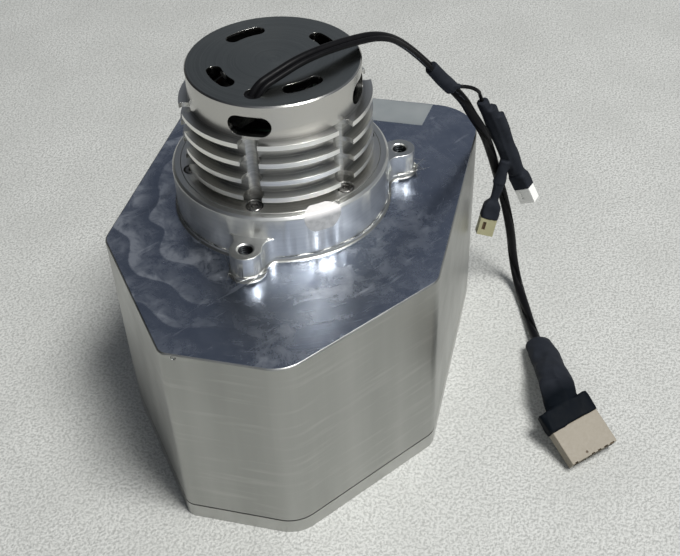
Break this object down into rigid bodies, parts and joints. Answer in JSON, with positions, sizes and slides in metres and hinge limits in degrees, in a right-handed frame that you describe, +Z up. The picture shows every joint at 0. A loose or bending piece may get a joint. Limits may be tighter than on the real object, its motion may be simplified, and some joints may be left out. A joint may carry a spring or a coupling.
{
  "type": "scroll blower",
  "caption": "Centrifugal scroll blower: finned motor on a hexagonal metal casing with the volute inside, ports in the base and a plug-in cable harness.",
  "frame": {"origin": "centre of the inlet port at the underside of the base plate, on the motor axis", "axes": "+Z up along the motor axis, -Y towards the narrow nose of the casing, +X to the side of the outlet port"},
  "size_m": [0.1946, 0.1637, 0.1533],
  "materials": {
    "casing_alloy": "satin, milled",
    "base_alloy": "satin",
    "motor_alloy": "turned, bright",
    "cap_alloy": "polished",
    "wheel_alloy": "satin",
    "screw_steel": "bright",
    "shaft_steel": "ground",
    "bearing_steel": "polished",
    "brass_nut": "satin",
    "magnet": "matte",
    "lamination": "satin",
    "winding": "enamelled copper",
    "board": "gloss",
    "cage_plastic": "matte",
    "scroll_plastic": "matte",
    "tube_plastic": "matte",
    "seal_rubber": "matte",
    "grommet_rubber": "matte",
    "foam": "open cell",
    "cable_jacket": "semi-matte",
    "shrink_black": "semi-matte",
    "boot_black": "matte",
    "plug_beige": "semi-matte",
    "plug_cream": "semi-gloss",
    "plug_white": "translucent, semi-gloss"
  },
  "bodies": {
    "blower": {"base_gasket": "seal_rubber", "base_plate": "base_alloy", "base_screws": "screw_steel", "bearing_bracket": "motor_alloy", "bearing_retainer": "shaft_steel", "bracket_arms": "motor_alloy", "bracket_rim": "motor_alloy", "cable_grommet": "grommet_rubber", "casing": "casing_alloy", "flange_screws": "screw_steel", "inlet_nozzle": "scroll_plastic", "inlet_port_seal": "seal_rubber", "inlet_tube": "tube_plastic", "junction_sleeve": "shrink_black", "lower_bearing_outer_race": "bearing_steel", "motor_cable_a": "cable_jacket", "motor_cable_b": "cable_jacket", "motor_flange": "motor_alloy", "motor_housing": "motor_alloy", "motor_ring": "casing_alloy", "outlet_port_seal": "seal_rubber", "outlet_tube": "tube_plastic", "plug_boot": "boot_black", "plug_housing": "plug_beige", "plug_shrink_tube": "shrink_black", "preload_washer": "shaft_steel", "retainer_screws": "screw_steel", "scroll_floor": "scroll_plastic", "scroll_housing": "scroll_plastic", "scroll_outlet": "scroll_plastic", "scroll_screws": "screw_steel", "sensor_board": "board", "sensor_cable_a": "cable_jacket", "sensor_cable_b": "cable_jacket", "sensor_plug_left": "plug_cream", "sensor_plug_right": "plug_white", "sensor_sleeve_left": "shrink_black", "sensor_sleeve_right": "shrink_black", "shaft_seal": "seal_rubber", "silencer_foam": "foam", "splice_pack": "shrink_black", "stator_coils": "winding", "stator_core": "lamination", "top_cap": "cap_alloy", "tube_seals": "seal_rubber", "upper_bearing_outer_race": "bearing_steel"},
    "rotor": {"shaft": "shaft_steel", "rotor_magnet": "magnet", "blower_wheel": "wheel_alloy", "wheel_blades": "wheel_alloy", "wheel_nut": "brass_nut", "lower_bearing_inner_race": "bearing_steel", "upper_bearing_inner_race": "bearing_steel"},
    "lower_ball_set": {"lower_bearing_balls": "bearing_steel", "lower_bearing_cage": "cage_plastic"},
    "upper_ball_set": {"upper_bearing_balls": "bearing_steel", "upper_bearing_cage": "cage_plastic"}
  },
  "joints": [
    {"name": "rotor_spin", "type": "hinge", "parent": "blower", "child": "rotor", "pos_m": [0, 0, 0.0995], "axis": [0, 0, -1], "continuous": true},
    {"name": "lower_ball_spin", "type": "hinge", "parent": "blower", "child": "lower_ball_set", "pos_m": [0, 0, 0.093], "axis": [0, 0, -1], "continuous": true},
    {"name": "upper_ball_spin", "type": "hinge", "parent": "blower", "child": "upper_ball_set", "pos_m": [0, 0, 0.1322], "axis": [0, 0, -1], "continuous": true}
  ],
  "couplings": [
    {"joint": "lower_ball_spin", "follows": "rotor_spin", "ratio": 0.368},
    {"joint": "upper_ball_spin", "follows": "rotor_spin", "ratio": 0.368}
  ]
}
